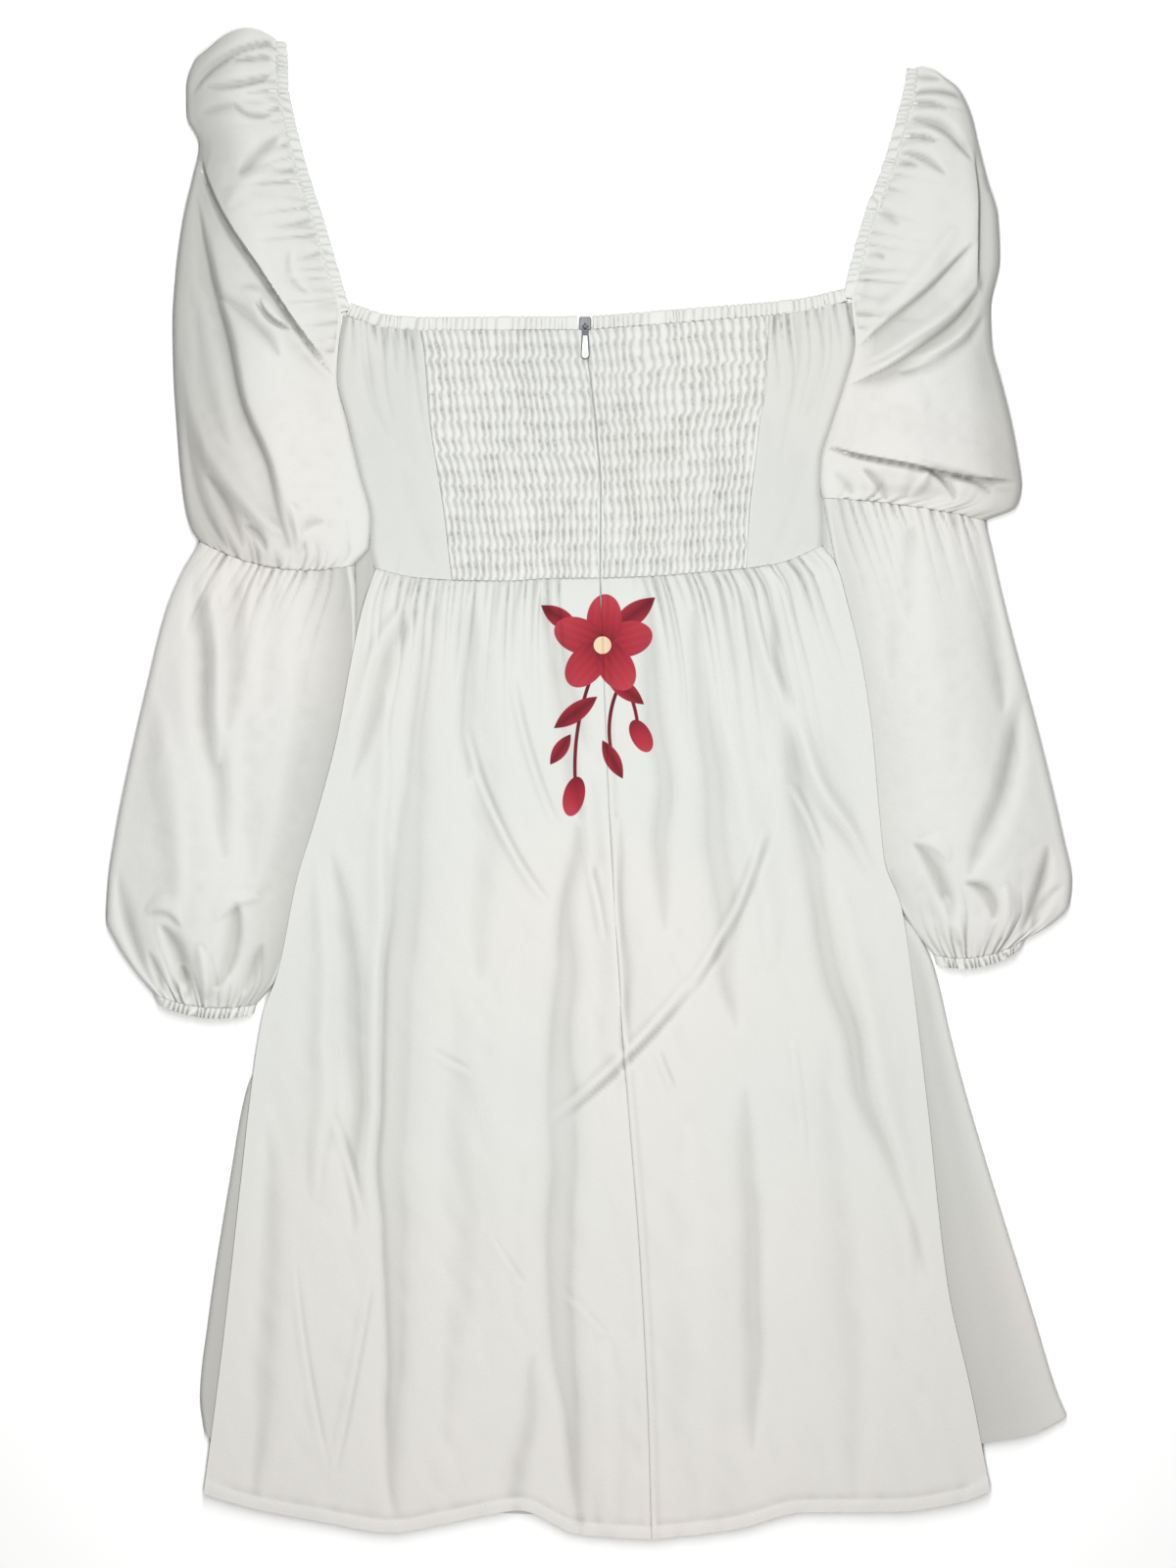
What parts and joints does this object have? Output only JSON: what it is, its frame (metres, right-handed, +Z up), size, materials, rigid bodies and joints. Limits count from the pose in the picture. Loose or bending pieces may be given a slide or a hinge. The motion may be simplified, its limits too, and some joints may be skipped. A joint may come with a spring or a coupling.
{
  "type": "babydoll dress",
  "caption": "Long-sleeved babydoll dress laid flat on its front: shirred back panel with a centre zip, puffed sleeves shirred at the elbow, gathered skirt. Its zip pull swings.",
  "frame": {"origin": "middle of the box round the dress as it lies, on the surface below it", "axes": "+X to the right across the dress as seen from above, +Y up the dress from hem to shoulders, +Z up from the surface to the back of the dress"},
  "size_m": [0.5744, 0.8996, 0.0215],
  "materials": {
    "cloth": "fine off-white crepe, slight sheen",
    "zip_metal": "satin",
    "zip_enamel": "gloss white enamel"
  },
  "bodies": {
    "dress": {"bodice_front": "cloth", "bodice_side_left": "cloth", "bodice_side_right": "cloth", "smock_left": "cloth", "smock_right": "cloth", "neck_band_left": "cloth", "neck_band_right": "cloth", "neck_casing_left": "cloth", "neck_casing_right": "cloth", "sleeve_upper_left": "cloth", "sleeve_upper_right": "cloth", "sleeve_lower_left": "cloth", "sleeve_lower_right": "cloth", "cuff_left": "cloth", "cuff_right": "cloth", "skirt_front": "cloth", "skirt_back_left": "cloth", "skirt_back_right": "cloth", "zip_slider": "zip_metal"},
    "pull_tab": {"zip_pull": "zip_enamel"}
  },
  "joints": [
    {"name": "pull_swing", "type": "hinge", "parent": "dress", "child": "pull_tab", "pos_m": [-0.0023, 0.272, 0.0054], "axis": [-1, 0, 0], "range_deg": [0, 170]}
  ]
}
